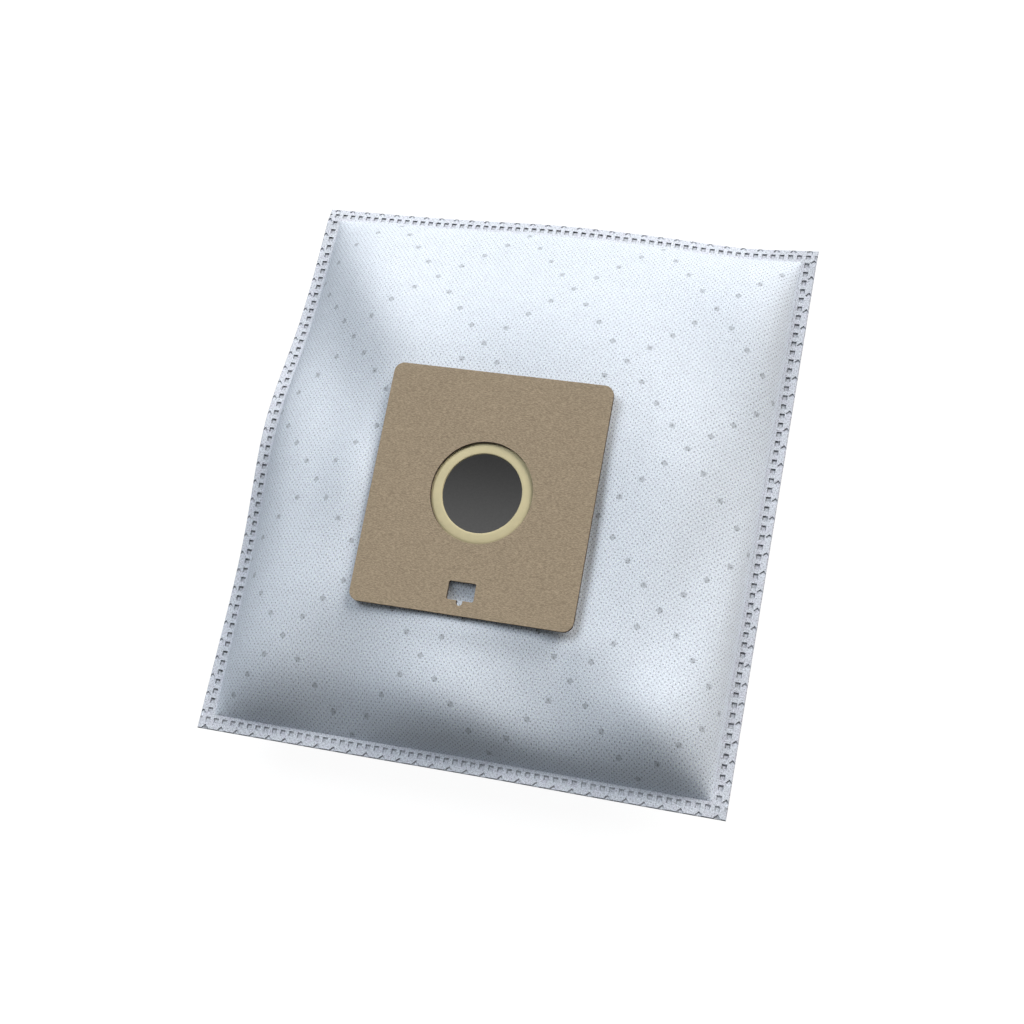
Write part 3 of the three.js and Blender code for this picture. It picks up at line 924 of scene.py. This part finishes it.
def puffed(points, surface, side):
    """Places for the slab's points. side is 1 for the front sheet and -1 for the back."""
    x, y, depth = points[:, 0], points[:, 1], -points[:, 2] / HEM_FLEECE
    slope_x = (surface(x + SLOPE_REACH, y) - surface(x - SLOPE_REACH, y)) / (2 * SLOPE_REACH)
    slope_y = (surface(x, y + SLOPE_REACH) - surface(x, y - SLOPE_REACH)) / (2 * SLOPE_REACH)
    free_x = np.abs(x) < SEAM_X - CLOSE
    free_y = np.abs(y) < SEAM_Y - CLOSE
    slope_x = np.where(free_x, slope_x, 0)
    slope_y = np.where(free_y, slope_y, 0)
    length = np.sqrt(1 + slope_x**2 + slope_y**2)
    thick = np.where(free_x & free_y, FLEECE, HEM_FLEECE) * depth
    moved = np.empty_like(points)
    moved[:, 0] = x + side * slope_x / length * thick
    moved[:, 1] = y + side * slope_y / length * thick
    moved[:, 2] = surface(x, y) - side * thick / length
    weld = seam_height(x, y) + side * WELD_GAP / 2
    kept_off = side * np.maximum(side * moved[:, 2], side * weld)
    moved[:, 2] = np.where(depth > 1 - CLOSE, kept_off, moved[:, 2])
    return moved


def finish_sheet(sheet, surface, side):
    """Gives a flat blank its finishes, its cloth map and its puffed shape, in metres."""
    middles = face_middles(sheet)
    normals = face_normals(sheet)
    on_hem = (np.abs(middles[:, 0]) > SEAM_X) | (np.abs(middles[:, 1]) > SEAM_Y)
    inside = (normals[:, 2] < -0.5) & ~on_hem
    for finish in (free_fleece, pressed_fleece, lining.material):
        sheet.data.materials.append(finish)
    sheet.data.polygons.foreach_set("material_index", np.where(inside, 2, np.where(on_hem, 1, 0)))
    lay_cloth_map(sheet, surface)
    move_points(sheet, puffed(points_of(sheet), surface, side) * MM)
    if side < 0:
        sheet.data.flip_normals()
    select_only(sheet)
    bpy.ops.object.shade_smooth_by_angle(angle=math.radians(40))


finish_sheet(front_sheet, front_top, 1)
front_top_at = points_of(front_sheet)[:, 2].max() / MM
print("Front sheet:", len(front_sheet.data.polygons), "faces, top at", round(front_top_at, 1), "mm")

# %% Back sheet
back_sheet = flat_blank("fleece_back")
finish_sheet(back_sheet, back_bottom, -1)
back_low_at = points_of(back_sheet)[:, 2].min() / MM
print("Back sheet:", len(back_sheet.data.polygons), "faces, bottom at", round(back_low_at, 2), "mm")

# %% [markdown]
# The collar is die-cut from grey-brown board of pressed wood fibre. The finish has short fibres that
# lie every way, a little lighter and darker than the rest. Three layers of noise, each drawn out in
# another direction, give the fibres, and a wide soft noise gives the clouds between them. The die-cut
# walls get a near-black brown of their own, which is painted shade on these narrow walls.

# %% Board finish
BOARD_COLOUR = (0.41, 0.326, 0.229)
BOARD_EDGE_SHADE_COLOUR = (0.1, 0.08, 0.065, 1)
STRAND_TURNS = (12, 68, 125)
STRAND_SCALE = (0.9, 3.0, 2.0)
STRAND_CONTRAST = 0.26
BOARD_RELIEF = 0.06

board_finish = Finish("pressed fibre board")
board_at = board_finish.place()
fibre_layers = None
for turn in STRAND_TURNS:
    strand_at = board_finish.turned(board_at, turn, STRAND_SCALE)
    strands = board_finish.noise(strand_at, 1.0, 3.0, 0.75).ramp(0.3, 0.7)
    fibre_layers = strands if fibre_layers is None else fibre_layers + strands
fibre_tone = fibre_layers / len(STRAND_TURNS)
clouds = board_finish.noise(board_at, 0.05, 2.0).ramp(0.3, 0.7, 0.99, 1.01)
strand_tone = fibre_tone.ramp(0.2, 0.8, 1 - STRAND_CONTRAST, 1 + STRAND_CONTRAST)
board_colour = board_finish.shade(BOARD_COLOUR, strand_tone * clouds)
board_finish.feed(board_finish.shader.inputs["Base Color"], board_colour)
board_finish.matt(0.92, 0.15)
board_finish.feed(board_finish.shader.inputs["Normal"], board_finish.bump(fibre_tone, BOARD_RELIEF))
# The cut walls are a near-black brown: painted shade on these narrow walls.
edge_shade_finish = Finish("painted shade on the cut board edge")
edge_shade_finish.feed(edge_shade_finish.shader.inputs["Base Color"], BOARD_EDGE_SHADE_COLOUR)
edge_shade_finish.matt(0.95, 0.1)
print("The board has", len(STRAND_TURNS), "layers of fibres.")

# %% [markdown]
# The board itself is a plate with rounded corners, a round hole for the intake and a small slot with
# a notch that the holder's key goes through. It starts as a cube. Its upright edges are bevelled
# round, the openings are cut with Booleans, and a narrow bevel softens every cut edge, as a die does.

# %% Board
BOARD_CORNER = 4.5
INTAKE_RADIUS = 22.5
KEY_WIDTH = 11.9
KEY_LENGTH = 7.9
KEY_X = -0.5
KEY_Y = -43.2
KEY_CORNER = 0.7
KEY_NOTCH_RADIUS = 1.35
KEY_NOTCH_DEPTH = 2.2
DIE_EDGE = 0.12


def cut_away(piece, tool):
    cut = piece.modifiers.new("cut", "BOOLEAN")
    cut.operation = "DIFFERENCE"
    cut.solver = "EXACT"
    cut.object = tool
    apply_all(piece)
    bpy.data.objects.remove(tool)


def upright_cylinder(radius, sides, x, y, z):
    bpy.ops.object.select_all(action="DESELECT")
    bpy.ops.mesh.primitive_cylinder_add(vertices=sides, radius=radius, depth=4 * BOARD, location=(x, y, z))
    return bpy.context.object


def block(x, y, z, wide, long, tall):
    bpy.ops.object.select_all(action="DESELECT")
    bpy.ops.mesh.primitive_cube_add(size=1, location=(x, y, z))
    made = bpy.context.object
    made.scale = (wide, long, tall)
    bpy.ops.object.transform_apply(location=True, rotation=False, scale=True)
    return made


def set_in_collar(piece):
    """Takes a piece modelled in the collar's own frame, in mm, to its place on the bag."""
    piece.data.transform(collar_frame @ Matrix.Scale(MM, 4))
    piece.matrix_world = Matrix.Identity(4)


def round_corners(piece, radius, segments):
    """Bevels the upright edges of a block."""
    bpy.ops.object.mode_set(mode="EDIT")
    bpy.ops.mesh.select_all(action="DESELECT")
    bpy.ops.mesh.select_mode(type="EDGE")
    bpy.ops.object.mode_set(mode="OBJECT")
    for side in piece.data.edges:
        ends = [piece.data.vertices[i].co for i in side.vertices]
        side.select = abs(ends[0].z - ends[1].z) > BOARD / 2
    bpy.ops.object.mode_set(mode="EDIT")
    bpy.ops.mesh.bevel(offset=radius, segments=segments, affect="EDGES")
    finish_edit()


board = block(0, 0, -BOARD / 2, COLLAR_WIDTH, COLLAR_LENGTH, BOARD)
board.name = "collar_board"
round_corners(board, BOARD_CORNER, 10)
cut_away(board, upright_cylinder(INTAKE_RADIUS, 128, 0, INTAKE_Y, -BOARD / 2))
key_slot = block(KEY_X, KEY_Y, -BOARD / 2, KEY_WIDTH, KEY_LENGTH, 4 * BOARD)
round_corners(key_slot, KEY_CORNER, 4)
cut_away(board, key_slot)
notch_y = KEY_Y - KEY_LENGTH / 2 - KEY_NOTCH_DEPTH + KEY_NOTCH_RADIUS
cut_away(board, upright_cylinder(KEY_NOTCH_RADIUS, 24, KEY_X, notch_y, -BOARD / 2))
notch_neck_y = notch_y + KEY_NOTCH_DEPTH
cut_away(board, block(KEY_X, notch_neck_y, -BOARD / 2, 2 * KEY_NOTCH_RADIUS, 2 * KEY_NOTCH_DEPTH, 4 * BOARD))
soften = board.modifiers.new("die edge", "BEVEL")
soften.width = DIE_EDGE
soften.segments = 2
soften.limit_method = "ANGLE"
soften.angle_limit = math.radians(50)
apply_all(board)
board.data.materials.clear()
board.data.materials.append(board_finish.material)
board.data.materials.append(edge_shade_finish.material)
is_cut = np.abs(face_normals(board)[:, 2]) < 0.5
board.data.polygons.foreach_set("material_index", is_cut.astype(int))
bpy.ops.object.shade_smooth_by_angle(angle=math.radians(20))
set_in_collar(board)
print("Board:", len(board.data.polygons), "faces")

# %% [markdown]
# The seal is a ring of soft cream rubber, clamped under the board. Its flange is flat, and towards
# the hole it swells up to a crisp lip. A circle is extruded and resized from one point of the section
# to the next, as on a lathe, and the last loop is merged with the first.

# %% Rubber finish
RUBBER_COLOUR = (0.71, 0.625, 0.38)
RUBBER_RELIEF = 0.01

rubber = Finish("cream rubber")
rubber_at = rubber.place()
rubber_cloud = rubber.noise(rubber_at, 0.25, 2.0).ramp(0.3, 0.7, 0.97, 1.03)
rubber_grain = rubber.noise(rubber_at, 3.0, 1.0)
rubber.feed(rubber.shader.inputs["Base Color"], rubber.shade(RUBBER_COLOUR, rubber_cloud))
rubber.matt(0.6, 0.3)
rubber.feed(rubber.shader.inputs["Normal"], rubber.bump(rubber_grain, RUBBER_RELIEF))

# %% Seal ring
RING_RADIUS = 27.5
RING_HOLE_RADIUS = 17.55
RING = 0.8
RING_LIP = 0.8
RING_FULLNESS = 0.45
LIP_WIDTH = 0.5
LIP_BEVEL = 0.15
LIP_BEVEL_DROP = 0.08
LIP_WALL_DROP = 0.25
SWELL_STEPS = 8
SWELL_CLEAR = 0.4
flange_top = -(BOARD + GLUE_LINE)


def ring_section():
    """Radius and height of the section, in order round it."""
    lip_at = RING_HOLE_RADIUS + LIP_WIDTH
    section = [(lip_at, flange_top - RING), (RING_RADIUS, flange_top - RING)]
    section += [(RING_RADIUS, flange_top), (INTAKE_RADIUS + SWELL_CLEAR, flange_top)]
    for i in range(SWELL_STEPS + 1):
        part = i / SWELL_STEPS
        radius = INTAKE_RADIUS + (lip_at - INTAKE_RADIUS) * part
        section.append((radius, flange_top + RING_LIP * math.sin(part * math.pi / 2) ** RING_FULLNESS))
    lip_top = flange_top + RING_LIP
    section += [(RING_HOLE_RADIUS + LIP_BEVEL, lip_top - LIP_BEVEL_DROP)]
    section += [(RING_HOLE_RADIUS, lip_top - LIP_WALL_DROP), (RING_HOLE_RADIUS, flange_top - RING / 2)]
    return section


section = ring_section()
bpy.ops.object.select_all(action="DESELECT")
bpy.ops.mesh.primitive_circle_add(vertices=128, radius=section[0][0], location=(0, 0, 0))
ring = bpy.context.object
ring.name = "seal_ring_rubber"
bpy.ops.object.mode_set(mode="EDIT")
bpy.ops.mesh.select_all(action="SELECT")
radius, height = section[0]
bpy.ops.transform.translate(value=(0, 0, height))
for next_radius, next_height in section[1:] + section[:1]:
    bpy.ops.mesh.extrude_edges_move(TRANSFORM_OT_translate={"value": (0, 0, next_height - height)})
    grow = next_radius / radius
    bpy.ops.transform.resize(value=(grow, grow, 1), center_override=(0, 0, 0))
    radius, height = next_radius, next_height
bpy.ops.mesh.select_all(action="SELECT")
bpy.ops.mesh.remove_doubles(threshold=0.001)
bpy.ops.mesh.normals_make_consistent(inside=False)
finish_edit()
move_points(ring, points_of(ring) + np.array([0, INTAKE_Y, 0]))
ring.data.materials.append(rubber.material)
bpy.ops.object.shade_smooth_by_angle(angle=math.radians(35))
set_in_collar(ring)
print("Ring:", len(ring.data.polygons), "faces")

# %% [markdown]
# Last, every piece is hung from the root body, and the imported node it stands for is hidden. Each
# sheet was cut larger than the puffed outline, because a bag draws in as it fills. That size is the way
# over the puffed sheet, from edge to edge, which is printed for both sheets.

for piece, node, slot_name in (
    (front_sheet, "front_panel", "fleece"),
    (back_sheet, "back_panel", "fleece"),
    (board, "collar_plate", "board"),
    (ring, "seal_ring", "seal_rubber"),
):
    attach(piece, "root")
    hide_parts(node)


def way_over(surface, positions, across):
    zeros = np.zeros_like(positions)
    heights = surface(positions, zeros) if across else surface(zeros, positions)
    return np.hypot(np.diff(positions), np.diff(heights)).sum()


fine_x = np.linspace(-edge_x, edge_x, 2000)
fine_y = np.linspace(-edge_y, edge_y, 2000)
for name, surface in (("front", front_top), ("back", back_bottom)):
    over_x, over_y = way_over(surface, fine_x, True), way_over(surface, fine_y, False)
    print(f"The way over the {name} is {over_x:.1f} mm across and {over_y:.1f} mm along.")
